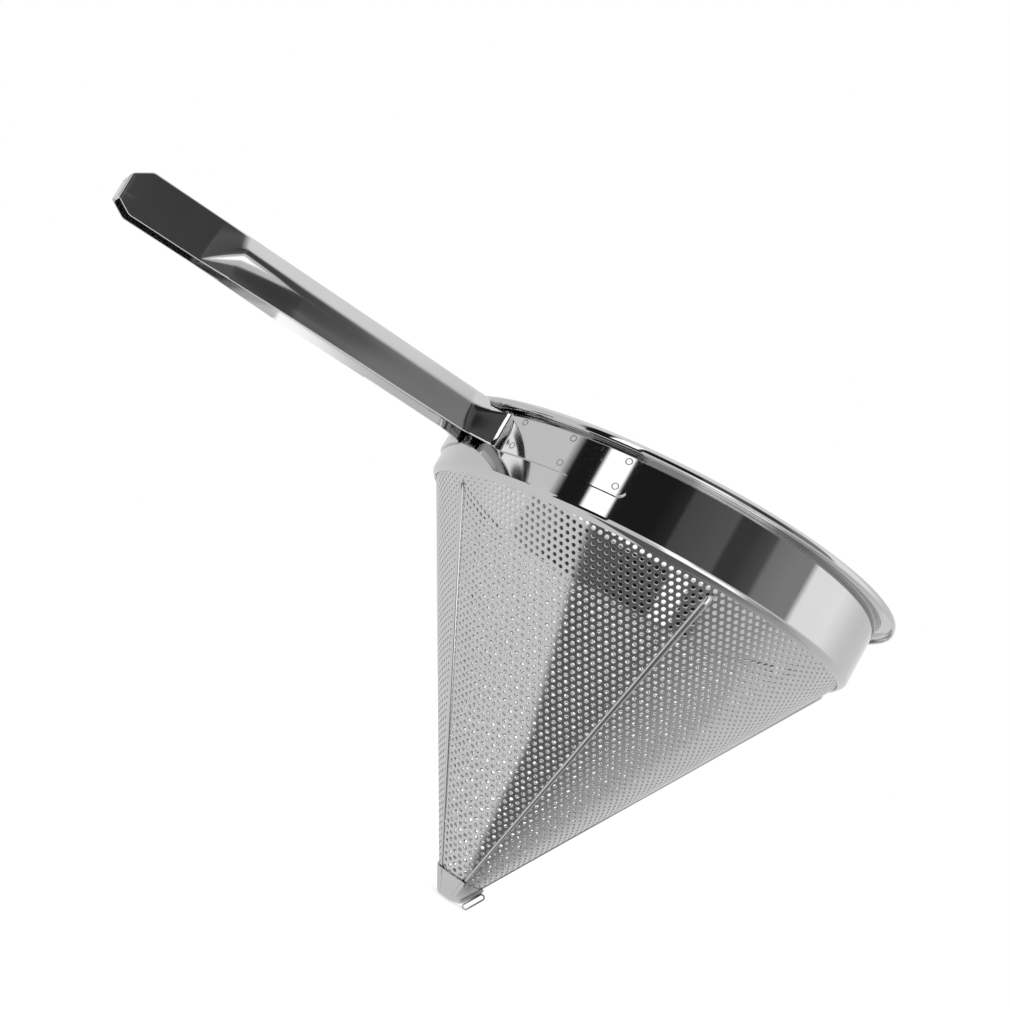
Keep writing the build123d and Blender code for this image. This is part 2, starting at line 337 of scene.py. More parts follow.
def softened(corners: Sequence[Point], lengths: Sequence[float], steps: int) -> list[Point]:
    """Open path whose inner corners are rounded by a curve of a given reach.

    Args:
        corners: the path's corners.
        lengths: how far along its two sides each inner corner's curve reaches.
        steps: how many sides each curve has.

    Returns:
        The points of the path.
    """
    path = [corners[0]]
    for before, corner, after, length in zip(corners, corners[1:], corners[2:], lengths):
        p0, p1, p2 = Vector(before), Vector(corner), Vector(after)
        start = p1 + (p0 - p1).normalized() * min(length, (p0 - p1).length * 0.49)
        end = p1 + (p2 - p1).normalized() * min(length, (p2 - p1).length * 0.49)
        for i in range(steps + 1):
            t = i / steps
            path.append(tuple(start * (1 - t) ** 2 + p1 * (2 * t * (1 - t)) + end * t ** 2))
    return path + [corners[-1]]


def filleted(corners: Sequence[Point], radii: Sequence[float], steps: int) -> list[Point]:
    """Open path whose inner corners are round arcs.

    Args:
        corners: the path's corners.
        radii: the arc's radius at each inner corner.
        steps: how many sides each arc has.

    Returns:
        The points of the path.
    """
    path = [corners[0]]
    for before, corner, after, radius in zip(corners, corners[1:], corners[2:], radii):
        p1 = Vector(corner)
        back, ahead = (Vector(before) - p1).normalized(), (Vector(after) - p1).normalized()
        half = back.angle(ahead) / 2
        centre = p1 + (back + ahead).normalized() * radius / math.sin(half)
        start = p1 + back * radius / math.tan(half) - centre
        turn = start.angle_signed(p1 + ahead * radius / math.tan(half) - centre)
        for i in range(steps + 1):
            a = -turn * i / steps
            spun = Vector((start.x * math.cos(a) - start.y * math.sin(a),
                           start.x * math.sin(a) + start.y * math.cos(a)))
            path.append(tuple(centre + spun))
    return path + [corners[-1]]


def shifted(path: Sequence[Point], distance: float) -> list[Point]:
    """Path moved sideways by a distance, to the left of its run."""
    moved = []
    for i, point in enumerate(path):
        normals = []
        for a, b in ((i - 1, i), (i, i + 1)):
            if 0 <= a and b < len(path):
                run = Vector(path[b]) - Vector(path[a])
                if run.length > 0:
                    normals.append(Vector((-run.y, run.x)).normalized())
        mean = sum(normals, Vector((0, 0))).normalized()
        stretch = 1 / max(mean.dot(normals[0]), 0.5)
        moved.append(tuple(Vector(point) + mean * distance * stretch))
    return moved


def sheet_outline(path: Sequence[Point], sheet: float) -> list[Point]:
    """Closed outline of a sheet that follows a path, with slightly rounded edges."""
    half = sheet / 2
    left, right = shifted(path, half), shifted(path, -half)
    caps = []
    for tip, back in ((path[-1], path[-2]), (path[0], path[1])):
        out = (Vector(tip) - Vector(back)).normalized()
        side = Vector((-out.y, out.x))
        for share in (0.8, 0.3, -0.3, -0.8):
            bulge = math.sqrt(1 - share ** 2) * half * 0.6
            caps.append(tuple(Vector(tip) + side * half * share + out * bulge))
    return left + caps[:4] + right[::-1] + caps[4:]


def new_object(name: str, vertices: Sequence, faces: Sequence[Sequence[int]]) -> bpy.types.Object:
    """Object at the origin with a mesh given in millimetres.

    Args:
        name: the piece's name.
        vertices: its points in millimetres.
        faces: its faces as vertex numbers.

    Returns:
        The object, linked to the scene.
    """
    mesh = bpy.data.meshes.new(name)
    mesh.from_pydata([tuple(c * MM for c in v) for v in vertices], [], [tuple(f) for f in faces])
    mesh.validate()
    made = bpy.data.objects.new(name, mesh)
    bpy.context.scene.collection.objects.link(made)
    return made


def tidied(made: bpy.types.Object) -> None:
    """Merge doubles and turn the faces of a closed mesh outwards."""
    work = bmesh.new()
    work.from_mesh(made.data)
    bmesh.ops.remove_doubles(work, verts=work.verts, dist=0.002 * MM)
    bmesh.ops.dissolve_degenerate(work, edges=work.edges, dist=0.001 * MM)
    bmesh.ops.recalc_face_normals(work, faces=work.faces)
    work.to_mesh(made.data)
    work.free()


def smoothed(made: bpy.types.Object, angle: float = 35.0) -> None:
    """Smooth shading with sharp edges past an angle in degrees."""
    made.data.shade_smooth()
    made.data.set_sharp_from_angle(angle=math.radians(angle))


def baked(made: bpy.types.Object) -> None:
    """Turn an object's modifiers into its plain mesh."""
    evaluated = made.evaluated_get(bpy.context.evaluated_depsgraph_get())
    mesh = bpy.data.meshes.new_from_object(evaluated)
    made.modifiers.clear()
    made.data = mesh


def polar(radius: float, angle: float, z: float) -> tuple[float, float, float]:
    """Point at a radius, a bearing in radians and a height."""
    return (radius * math.cos(angle), radius * math.sin(angle), z)


def ring_faces(rings: int, sides: int, first: int = 0, flip: bool = False,
               closed: bool = False) -> list[tuple[int, ...]]:
    """Four-sided faces between rings of vertices that are stored ring by ring."""
    faces = []
    for i in range(rings if closed else rings - 1):
        here, there = first + i * sides, first + (i + 1) % rings * sides
        for j in range(sides):
            k = (j + 1) % sides
            face = (here + j, here + k, there + k, there + j)
            faces.append(face[::-1] if flip else face)
    return faces


def spun(name: str, outline: Sequence[Point], segments: int) -> bpy.types.Object:
    """Closed outline of (radius, height) turned about the Z axis."""
    vertices = []
    for i in range(segments):
        vertices += [polar(r, 2 * math.pi * i / segments, z) for r, z in outline]
    made = new_object(name, vertices, ring_faces(segments, len(outline), closed=True))
    tidied(made)
    return made


def corner_cut(corner: float, left: float) -> float:
    """How far a round corner draws an edge in, with this length left to the end."""
    if left >= corner:
        return 0.0
    return corner - math.sqrt(max(corner ** 2 - (corner - left) ** 2, 0.0))


def grid_faces(
        rows: int, columns: int, first: int = 0, flip: bool = False) -> list[tuple[int, ...]]:
    """Four-sided faces of a grid of vertices that are stored row by row."""
    faces = []
    for i in range(rows - 1):
        for j in range(columns - 1):
            a = first + i * columns + j
            face = (a, a + 1, a + columns + 1, a + columns)
            faces.append(face[::-1] if flip else face)
    return faces


def ease(t: float) -> float:
    """Soft step from 0 to 1."""
    t = min(max(t, 0.0), 1.0)
    return t * t * (3 - 2 * t)


def ramp(x: float, start: float, soft: float) -> float:
    """Zero before start, the distance past it after, with a soft corner."""
    t = x - start
    if abs(t) < soft:
        return (t + soft) ** 2 / (4 * soft)
    return max(t, 0.0)


def dress(piece: bpy.types.Object, finish: Steel, replaced: Sequence[str]) -> None:
    """Give a finished piece its material and body, and hide the nodes that it stands for."""
    piece.data.materials.clear()
    piece.data.materials.append(finish.material())
    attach(piece, BODY)
    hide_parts(*replaced)
    log.info("%s: %d faces", piece.name, len(piece.data.polygons))


# Geometry Nodes trees


class Pattern:
    """A Geometry Nodes tree with named inputs, run on an object and kept as its mesh."""

    def __init__(self, name: str) -> None:
        """Start an empty tree."""
        self.tree = bpy.data.node_groups.new(name, "GeometryNodeTree")
        self.graph = Graph(self.tree)
        self.sockets: dict[str, str] = {}
        self.values: dict[str, Any] = {}
        self.entry = self.tree.nodes.new("NodeGroupInput")

    def input(self, name: str, kind: str, value: Any) -> Field:
        """Add a named input.

        Args:
            name: its name.
            kind: its socket type.
            value: the value that the modifier gives it.

        Returns:
            The input as a field.
        """
        socket = self.tree.interface.new_socket(name, in_out="INPUT", socket_type=kind)
        self.sockets[name] = socket.identifier
        self.values[name] = value
        return Field(self.graph, self.entry.outputs[name])

    def result(self, geometry: Field, material: Field) -> None:
        """End the tree in Realize Instances and Set Material."""
        self.tree.interface.new_socket(
            "Geometry", in_out="OUTPUT", socket_type="NodeSocketGeometry")
        real = self.graph.node("GeometryNodeRealizeInstances", None, {0: geometry})
        painted = self.graph.node("GeometryNodeSetMaterial", None, {
            "Geometry": real, "Material": material,
        })
        out = self.tree.nodes.new("NodeGroupOutput")
        self.tree.links.new(painted.socket, out.inputs[0])

    def run(self, name: str, changes: dict[str, Any] | None = None) -> bpy.types.Object:
        """Run the tree on a new object.

        Args:
            name: the new object's name.
            changes: input values that differ from the tree's own.

        Returns:
            The object with the result as its plain mesh.
        """
        made = new_object(name, [], [])
        modifier = made.modifiers.new(name, "NODES")
        modifier.node_group = self.tree
        for key, value in {**self.values, **(changes or {})}.items():
            modifier[self.sockets[key]] = value
        made.update_tag()
        bpy.context.view_layer.update()
        baked(made)
        return made


def source_object(name: str, vertices: Sequence, faces: Sequence) -> bpy.types.Object:
    """Object that a tree copies, kept out of the scene's own view."""
    made = new_object(name, vertices, faces)
    bpy.context.scene.collection.objects.unlink(made)
    return made


# The strainer's pieces


@dataclass
class Cone:
    """Shape that the sheet, the ribs and the cap share, in millimetres.

    Attributes:
        mouth_radius: outer radius where the skirt ends.
        skirt_depth: depth of that place under the mouth.
        half_angle: half the cone's angle, in degrees.
    """

    mouth_radius: float = 116.4
    skirt_depth: float = 39.0
    half_angle: float = 30.0

    @property
    def lean(self) -> float:
        """Half angle in radians."""
        return math.radians(self.half_angle)

    @property
    def apex(self) -> float:
        """Height of the point that the outer face runs to."""
        return -self.skirt_depth - self.mouth_radius / math.tan(self.lean)

    def radius(self, z: float, offset: float = 0.0) -> float:
        """Radius of the outer face, moved outwards by offset, at a height."""
        return (z - self.apex) * math.tan(self.lean) + offset / math.cos(self.lean)

    def height(self, radius: float) -> float:
        """Height at which the outer face has a radius."""
        return self.apex + radius / math.tan(self.lean)

    def point(self, z: float, offset: float, angle: float) -> Vector:
        """Point at a height and bearing in radians, standing off the outer face."""
        r = (z - self.apex) * math.tan(self.lean)
        out = Vector((math.cos(angle), math.sin(angle), 0))
        normal = out * math.cos(self.lean) - Vector((0, 0, math.sin(self.lean)))
        return out * r + Vector((0, 0, z)) + normal * offset


@dataclass
class Rim:
    """Ring of sheet with a lip rolled outwards and a skirt that closes on the cone."""

    cone: Cone
    sheet: float = 1.0
    radius: float = 120.0
    lip_radius: float = 128.0
    lip_drop: float = 4.0
    lip_bends: tuple[float, float] = (2.2, 2.6)
    skirt_bend: float = 3.6
    skirt_turn: float = -36.4
    seat_gap: float = 0.1
    segments: int = 360

    def build(self) -> None:
        """Turn the sheet's outline about the axis."""
        half = self.sheet / 2
        wall = self.radius - half
        stand_off = self.seat_gap + half
        depth = self.cone.skirt_depth
        path = filleted(
            [
                (self.lip_radius - half, -self.lip_drop),
                (self.lip_radius - half, -half),
                (wall, -half),
                (wall, self.skirt_turn),
                (self.cone.radius(-depth, stand_off), -depth),
            ],
            (*self.lip_bends, self.skirt_bend),
            10,
        )
        ring = spun("rim", sheet_outline(path, self.sheet), self.segments)
        smoothed(ring, 40)
        dress(ring, POLISHED_BAND, ["rim_band"])


@dataclass
class PerforatedSheet:
    """Sheet of round holes in staggered rows, rolled to a cone."""

    cone: Cone
    rib_bearings: Sequence[float]
    sheet: float = 0.8
    pitch: float = 3.6
    hole_radius: float = 1.05
    punch_round: float = 0.14
    row_turn: float = 15.2
    lap: float = 2.0
    end_radius: float = 7.6
    joint_rib: int = 4
    sides: int = 12

    def _cell(self) -> bpy.types.Object:
        """One six-sided piece of sheet with its hole, which the tree copies."""
        reach = self.pitch / math.sqrt(3)
        rings = [
            (6, reach, 0.0, 0.0),
            (self.sides, self.hole_radius + self.punch_round, 0.0, 0.0),
            (self.sides, self.hole_radius, self.punch_round, 1.0),
            (self.sides, self.hole_radius, self.sheet, 1.0),
            (6, reach, self.sheet, 0.0),
        ]
        vertices, leans, starts = [], [], []
        for count, radius, depth, wall in rings:
            starts.append(len(vertices))
            for i in range(count):
                angle = 2 * math.pi * (i + 0.5 * (count == 6)) / count
                vertices.append(polar(radius, angle, -depth))
                inner = depth == self.sheet
                up = (1 - wall) * (-1 if inner else 1) - 0.6 * (wall and inner)
                leans.append((-wall * math.cos(angle), -wall * math.sin(angle), up))
        faces = []
        for ring in (1, 2):
            a, b = starts[ring], starts[ring + 1]
            for i in range(self.sides):
                k = (i + 1) % self.sides
                faces.append((a + i, a + k, b + k, b + i))
        per = self.sides // 6
        for hexagon, hole, flip in ((starts[0], starts[1], False), (starts[4], starts[3], True)):
            for i in range(6):
                corner = hexagon + i
                nearest = per * i + per // 2
                fan = [hole + (nearest + k) % self.sides for k in range(per + 1)]
                around = [(corner, fan[k + 1], fan[k]) for k in range(per)]
                around.append((corner, hexagon + (i + 1) % 6, fan[per]))
                faces += [face[::-1] if flip else face for face in around]
        cell = source_object("sheet_cell", vertices, faces)
        attribute = cell.data.attributes.new("lean", "FLOAT_VECTOR", "POINT")
        attribute.data.foreach_set("vector", [c for lean in leans for c in lean])
        return cell

    def _pattern(self) -> Pattern:
        """Tree that lays the cells out flat and rolls them to the cone."""
        made = Pattern("rolled_perforations")
        graph, lean = made.graph, self.cone.lean
        slant_top = self.cone.radius(self.lap - self.cone.skirt_depth) / math.sin(lean) * MM
        joint = self.rib_bearings[self.joint_rib] % 360
        first = math.radians(joint - 360 + 90) * math.sin(lean)
        last = math.radians(joint + 90) * math.sin(lean)
        pitch = made.input("Pitch", "NodeSocketFloat", self.pitch * MM)
        turn = made.input("Row Turn", "NodeSocketFloat", math.radians(self.row_turn))
        start = made.input("Panel Start", "NodeSocketFloat", first)
        end = made.input("Panel End", "NodeSocketFloat", last)
        edge_low = made.input("Joint Start", "NodeSocketFloat", first)
        edge_high = made.input("Joint End", "NodeSocketFloat", last)
        low = made.input("Slant Low", "NodeSocketFloat", self.end_radius / math.sin(lean) * MM)
        top = made.input("Slant Top", "NodeSocketFloat", slant_top)
        half = made.input("Half Angle", "NodeSocketFloat", lean)
        apex = made.input("Apex Height", "NodeSocketFloat", self.cone.apex * MM)
        cell = made.input("Cell", "NodeSocketObject", self._cell())
        paint = made.input("Material", "NodeSocketMaterial", BRIGHT_SHEET.material())

        columns = int(slant_top / (self.pitch * MM)) * 2 + 5
        rows = int(slant_top / (self.pitch * MM) * 2 / math.sqrt(3)) * 2 + 5
        step = pitch * (math.sqrt(3) / 2)
        lattice = graph.node("GeometryNodeMeshGrid", None, {
            "Size X": pitch * (columns - 1), "Size Y": step * (rows - 1),
            "Vertices X": columns, "Vertices Y": rows,
        })
        place = graph.node("GeometryNodeInputPosition")
        x, y, _ = graph.separate(place)
        odd = (y / step).math("ROUND") % 2.0
        staggered = graph.combine(x + odd * pitch * 0.5, y, 0.0)
        turned = graph.node("ShaderNodeVectorRotate", {"rotation_type": "Z_AXIS"}, {
            "Vector": staggered, "Angle": turn,
        })
        lattice = graph.node("GeometryNodeSetPosition", None, {
            "Geometry": lattice, "Position": turned,
        })

        slant = (x * x + y * y).math("SQRT")
        angle = y.math("ARCTAN2", x)
        reach = (pitch * 0.6) / slant.math("MAXIMUM", 0.001)
        inside = (slant > low - pitch * 0.6) * (slant < top + pitch * 0.6)
        inside = inside * (angle > edge_low - reach) * (angle < edge_high + reach)
        first_panel = start.math("LESS_THAN", edge_low + 0.001)
        last_panel = end.math("GREATER_THAN", edge_high - 0.001)
        past_start = (angle > start).math("MAXIMUM", first_panel)
        before_end = (angle < end).math("MAXIMUM", last_panel)
        on_start = angle.math("COMPARE", start, 0.0)
        inside = inside * past_start.math("MAXIMUM", on_start) * before_end
        info = graph.node("GeometryNodeObjectInfo", None, {"Object": cell}, "Geometry")
        cells = graph.node("GeometryNodeInstanceOnPoints", None, {
            "Points": lattice, "Selection": inside, "Instance": info,
            "Rotation": graph.combine(0.0, 0.0, turn),
        })
        flat = graph.node("GeometryNodeRealizeInstances", None, {0: cells})

        px, py, pz = graph.separate(place)
        slant = (px * px + py * py).math("SQRT").between(low, top)
        bearing = py.math("ARCTAN2", px).between(edge_low, edge_high) / half.sine()
        radius = slant * half.sine() + pz * half.cosine()
        height = apex + slant * half.cosine() - pz * half.sine()
        rolled = graph.combine(radius * bearing.sine(), radius * bearing.cosine() * -1.0, height)
        cone = graph.node("GeometryNodeSetPosition", None, {"Geometry": flat, "Position": rolled})
        cone = graph.node("GeometryNodeFlipFaces", None, {"Mesh": cone})
        welded = graph.node("GeometryNodeMergeByDistance", None, {
            "Geometry": cone, "Distance": 0.02 * MM,
        })
        made.result(welded, paint)
        return made

    def _normals(self, panel: bpy.types.Object) -> None:
        """Shade a panel as the true cone, with round edges at its holes."""
        mesh, lean = panel.data, self.cone.lean
        count = len(mesh.vertices)
        points, leans = np.empty(count * 3, np.float32), np.empty(count * 3, np.float32)
        mesh.vertices.foreach_get("co", points)
        mesh.attributes["lean"].data.foreach_get("vector", leans)
        points, leans = points.reshape(-1, 3), leans.reshape(-1, 3)
        bearing = np.arctan2(points[:, 0], -points[:, 1])
        joint = math.radians(self.rib_bearings[self.joint_rib] % 360 + 90)
        bearing = np.where(bearing > joint + 1e-4, bearing - 2 * np.pi, bearing)
        bearing = np.where(bearing < joint - 2 * np.pi - 1e-4, bearing + 2 * np.pi, bearing)
        turn = math.radians(self.row_turn)
        flat_x = leans[:, 0] * math.cos(turn) - leans[:, 1] * math.sin(turn)
        flat_y = leans[:, 0] * math.sin(turn) + leans[:, 1] * math.cos(turn)
        psi = bearing * math.sin(lean)
        up_slant = flat_x * np.cos(psi) + flat_y * np.sin(psi)
        across = flat_y * np.cos(psi) - flat_x * np.sin(psi)
        out = np.stack([np.sin(bearing), -np.cos(bearing), np.zeros(count)], 1)
        side = np.stack([np.cos(bearing), np.sin(bearing), np.zeros(count)], 1)
        rise = np.array([0.0, 0.0, 1.0])
        normal = out * math.cos(lean) - rise * math.sin(lean)
        slope = out * math.sin(lean) + rise * math.cos(lean)
        shade = normal * leans[:, 2:3] + slope * up_slant[:, None] + side * across[:, None]
        shade /= np.linalg.norm(shade, axis=1)[:, None]
        mesh.normals_split_custom_set_from_vertices(shade.tolist())
        mesh.attributes.remove(mesh.attributes["lean"])

    def build(self) -> None:
        """Make the panels between the ribs."""
        pattern = self._pattern()
        joint = self.rib_bearings[self.joint_rib] % 360
        span = 360 / len(self.rib_bearings)
        for i in range(len(self.rib_bearings)):
            start = math.radians(joint - 360 + span * i + 90) * math.sin(self.cone.lean)
            end = math.radians(joint - 360 + span * (i + 1) + 90) * math.sin(self.cone.lean)
            panel = pattern.run(f"cone_panel_{i + 1}", {"Panel Start": start, "Panel End": end})
            panel.data.shade_smooth()
            self._normals(panel)
            dress(panel, BRIGHT_SHEET, ["perforated_cone"])


@dataclass
class Ribs:
    """Half round rods down the outside of the cone."""

    cone: Cone
    bearings: Sequence[float]
    top_radius: float = 1.75
    end_radius: float = 0.85
    top_margin: float = 2.0
    end_height: float = -218.8
    sides: int = 12
    steps: int = 60

    def _rod(self) -> bpy.types.Object:
        """One rod at bearing zero, which the tree copies."""
        top = -self.cone.skirt_depth - self.top_margin
        vertices = []
        for i in range(self.steps + 1):
            share = i / self.steps
            z = top + (self.end_height - top) * share
            radius = self.top_radius + (self.end_radius - self.top_radius) * share
            rounding = min(1.0, (top - z) / self.top_radius)
            radius *= math.sqrt(max(0.0, 1 - (1 - rounding) ** 2))
            for j in range(self.sides + 1):
                angle = math.pi * j / self.sides
                base = self.cone.point(z, max(radius * math.sin(angle) * 0.95, 0.0), 0.0)
                vertices.append(base + Vector((0, radius * math.cos(angle), 0)))
        faces = grid_faces(self.steps + 1, self.sides + 1)
        columns = self.sides + 1
        for i in range(self.steps):
            a = i * columns
            faces.append((a, a + columns, a + columns + self.sides, a + self.sides))
        faces.append(tuple(range(self.steps * columns, self.steps * columns + columns)))
        rod = source_object("rib_rod", vertices, faces)
        tidied(rod)
        return rod

    def build(self) -> None:
        """Set the rods round the cone."""
        made = Pattern("ring_of_ribs")
        graph = made.graph
        count = made.input("Count", "NodeSocketInt", len(self.bearings))
        start = made.input("First Bearing", "NodeSocketFloat", math.radians(self.bearings[0]))
        rod = made.input("Rod", "NodeSocketObject", self._rod())
        paint = made.input("Material", "NodeSocketMaterial", RIB_STEEL.material())
        points = graph.node("GeometryNodePoints", None, {"Count": count})
        index = graph.node("GeometryNodeInputIndex")
        bearing = start + index * (2 * math.pi) / count
        info = graph.node("GeometryNodeObjectInfo", None, {"Object": rod}, "Geometry")
        rods = graph.node("GeometryNodeInstanceOnPoints", None, {
            "Points": points, "Instance": info, "Rotation": graph.combine(0.0, 0.0, bearing),
        })
        made.result(rods, paint)
        piece = made.run("ribs")
        smoothed(piece, 50)
        nodes = [f"cone_rib_{i + 1}" for i in range(len(self.bearings))]
        dress(piece, RIB_STEEL, nodes)


@dataclass
class TipCap:
    """Pressed cap over the cone's end, with a pleat over each rib, and its small loop."""

    cone: Cone
    bearings: Sequence[float]
    mouth_radius: float = 12.6
    depth: float = 13.0
    sheet: float = 0.8
    seat_gap: float = 0.1
    nose_bend: float = 3.4
    pleat_top: float = 1.55
    pleat_nose: float = 0.9
    loop_length: float = 13.5
    loop_height: float = 3.6
    loop_width: float = 2.6
    loop_sheet: float = 0.8
    segments: int = 480

    @property
    def top(self) -> float:
        """Height of the cap's mouth."""
        return self.cone.height(self.mouth_radius)

    def _side(self, offset: float, lift: float) -> list[Point]:
        """Profile from the mouth to the middle of the nose."""
        nose = self.top - self.depth + lift
        corners = [
            (self.cone.radius(self.top, offset), self.top),
            (self.cone.radius(nose, offset), nose),
            (0.0, nose),
        ]
        path = filleted(corners, [self.nose_bend - lift], 10)
        run = [tuple(Vector(path[0]).lerp(Vector(path[1]), i / 14)) for i in range(14)]
        return run + path[1:]

    def _bulge(self, angle: float, radius: float, share: float) -> float:
        """How far the pleats push the cap out at a bearing and a share of its depth."""
        swell = self.pleat_top + (self.pleat_nose - self.pleat_top) * min(share, 1.0)
        swell *= ease((1.12 - share) / 0.3)
        push = 0.0
        for bearing in self.bearings:
            away = (angle - math.radians(bearing) + math.pi) % (2 * math.pi) - math.pi
            across = abs(away) * radius
            foot = swell * 1.25
            if across < foot:
                push = max(push, swell * math.sqrt(1 - (across / foot) ** 2) ** 1.15)
        return push

    def _cap(self) -> bpy.types.Object:
        """The cap with its pleats, as a closed shell."""
        vertices, faces = [], []
        outside = self._side(self.seat_gap + self.sheet, 0.0)
        inside = self._side(self.seat_gap, self.sheet)
        rows = len(outside)
        for skin, outer in ((outside, True), (inside, False)):
            for r, z in skin:
                share = (self.top - z) / self.depth
                for j in range(self.segments):
                    angle = 2 * math.pi * j / self.segments
                    push = self._bulge(angle, max(r, 0.5), share) if outer or share < 0.85 else 0.0
                    push *= min(1.0, r / 3.0)
                    wide = r + push * math.cos(self.cone.lean)
                    drop = push * math.sin(self.cone.lean) * (0.0 if share < 0.03 else 1.0)
                    vertices.append(polar(wide, angle, z - drop * (share < 1)))
        for first, flip in ((0, True), (rows * self.segments, False)):
            faces += ring_faces(rows, self.segments, first, flip)
        for j in range(self.segments):
            k = (j + 1) % self.segments
            inner = rows * self.segments
            faces.append((j, k, inner + k, inner + j))
        cap = new_object("cap", vertices, faces)
        tidied(cap)
        smoothed(cap, 42)
        return cap

    def _loop(self) -> bpy.types.Object:
        """Flattened loop of strip beside the cap."""
        half_turn = self.loop_height / 2 - self.loop_sheet / 2
        straight = self.loop_length / 2 - self.loop_height / 2
        ring = []
        for end, sign in ((straight, 1), (-straight, -1)):
            for i in range(17):
                angle = math.pi * (i / 16 - 0.5)
                x, y, _ = polar(sign * half_turn, angle, 0.0)
                ring.append((end + x, y))
        vertices, count, half = [], len(ring), self.loop_sheet / 2
        section = [
            (1.0, 0.8), (0.8, 1.0), (-0.8, 1.0), (-1.0, 0.8),
            (-1.0, -0.8), (-0.8, -1.0), (0.8, -1.0), (1.0, -0.8),
        ]
        bearing = math.radians(self.bearings[2])
        stand = self.pleat_top + self.seat_gap + self.sheet + self.loop_height / 2 - 0.2
        across = Vector((-math.sin(bearing), math.cos(bearing), 0))
        start = self.cone.point(self.top, stand, bearing)
        along = (self.cone.point(self.top - self.depth, stand, bearing) - start).normalized()
        out = across.cross(along)
        out = out if out.dot(Vector((math.cos(bearing), math.sin(bearing), 0))) > 0 else -out
        middle = start + along * self.loop_length / 2
        for i in range(count):
            here, ahead, behind = (Vector(ring[(i + k) % count]) for k in (0, 1, -1))
            run = (ahead - behind).normalized()
            side = Vector((run.y, -run.x))
            for thick, wide in section:
                flat = here + side * thick * half
                at = middle + along * flat.x + out * flat.y + across * wide * self.loop_width / 2
                vertices.append(at)
        faces = ring_faces(count, len(section), closed=True)
        loop = new_object("cap_loop", vertices, faces)
        tidied(loop)
        smoothed(loop, 50)
        return loop

    def build(self) -> None:
        """Make the cap and its loop."""
        cap, loop = self._cap(), self._loop()
        dress(cap, PRESSED_CAP, ["tip_cap"])
        dress(loop, PRESSED_CAP, ["tip_loop"])


